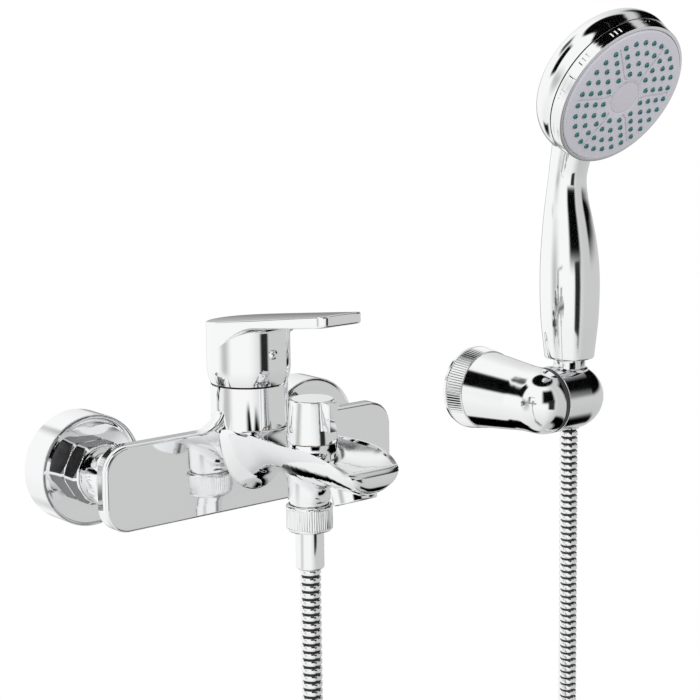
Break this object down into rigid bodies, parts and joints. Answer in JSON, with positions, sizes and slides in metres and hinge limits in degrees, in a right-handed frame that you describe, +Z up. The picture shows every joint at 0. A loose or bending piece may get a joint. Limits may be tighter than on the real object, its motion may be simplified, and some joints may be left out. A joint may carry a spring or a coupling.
{
  "type": "bath mixer with shower set",
  "caption": "Wall mounted single lever bath mixer with diverter spout, ribbed shower hose, swivelling wall bracket and round handset with spray ring.",
  "frame": {"origin": "on the wall, midway between the two inlets", "axes": "+Z up, the mixer stands out of the wall along -Y, +X to the right seen from the front"},
  "size_m": [0.3991, 0.1856, 0.5436],
  "materials": {
    "chrome": "polished chrome plating",
    "chromed_plastic": "polished chrome plating on moulded plastic",
    "hose": "polished ribbed metallic hose",
    "brass": "machined brass",
    "steel": "plain steel",
    "seal": "rubber seal",
    "washer": "dark grey washer",
    "plastic": "moulded plastic",
    "face": "pale lilac grey, satin",
    "disc": "pale grey, satin",
    "nozzles": "dark teal silicone"
  },
  "bodies": {
    "mixer": {"mixer_body": "chrome", "inlet_tail_left": "brass", "inlet_tail_right": "brass", "wall_union_left": "brass", "wall_union_right": "brass", "escutcheon_left": "chrome", "escutcheon_right": "chrome", "union_nut_left": "chrome", "union_nut_right": "chrome", "union_seal_left": "seal", "union_seal_right": "seal", "cartridge": "plastic", "cartridge_nut": "brass", "diverter_bonnet": "brass", "aerator_housing": "chrome", "aerator_insert": "plastic", "hose_nut": "chrome", "hose_washer": "seal", "hose_ferrule": "chrome", "hose_mixer_drop": "hose", "hose_left_bend": "hose", "hose_coil": "hose", "hose_right_bend": "hose", "hose_bracket_drop": "hose", "bracket_plate": "plastic", "wall_screw_upper": "steel", "wall_screw_lower": "steel", "bracket_rose": "chromed_plastic", "bracket_arm": "chromed_plastic", "bracket_washer": "washer", "swivel_screw": "steel"},
    "cartridge_carrier": {"cartridge_carrier": "plastic", "lever_pin": "brass"},
    "handle": {"handle": "chrome", "cartridge_stem": "brass", "grub_screw": "steel", "screw_plug": "chrome"},
    "diverter": {"diverter_knob": "chrome", "diverter_spindle": "brass"},
    "holder": {"bracket_holder": "chromed_plastic"},
    "hose_cone": {"hose_cone_nut": "chromed_plastic", "hose_tail": "chrome"},
    "handset": {"handset_shell": "chromed_plastic", "face_plate": "face", "nozzle_mat": "nozzles", "centre_disc": "disc"},
    "spray_ring": {"spray_ring": "chromed_plastic"}
  },
  "joints": [
    {"name": "lever_turn", "type": "hinge", "parent": "mixer", "child": "cartridge_carrier", "pos_m": [0, -0.0615, 0.0545], "axis": [0, 0, 1], "range_deg": [-45, 45]},
    {"name": "lever_lift", "type": "hinge", "parent": "cartridge_carrier", "child": "handle", "pos_m": [0, -0.0615, 0.0545], "axis": [-1, 0, 0], "range_deg": [0, 20]},
    {"name": "diverter_turn", "type": "hinge", "parent": "mixer", "child": "diverter", "pos_m": [0, -0.1172, 0.03], "axis": [0, 0, 1], "range_deg": [0, 90]},
    {"name": "holder_tilt", "type": "hinge", "parent": "mixer", "child": "holder", "pos_m": [0.2457, -0.0635, 0.003], "axis": [1, 0, 0], "range_deg": [-15, 40]},
    {"name": "handset_lift", "type": "slide", "parent": "holder", "child": "hose_cone", "axis": [0, 0, 1], "range_m": [0, 0.03]},
    {"name": "handset_swivel", "type": "hinge", "parent": "hose_cone", "child": "handset", "pos_m": [0.245, -0.0636, 0.035], "axis": [0, 0, 1], "range_deg": [-60, 60]},
    {"name": "spray_ring_turn", "type": "hinge", "parent": "handset", "child": "spray_ring", "pos_m": [0.245, -0.1068, 0.1915], "axis": [0, 0.8712, 0.4909], "range_deg": [-60, 60]}
  ]
}
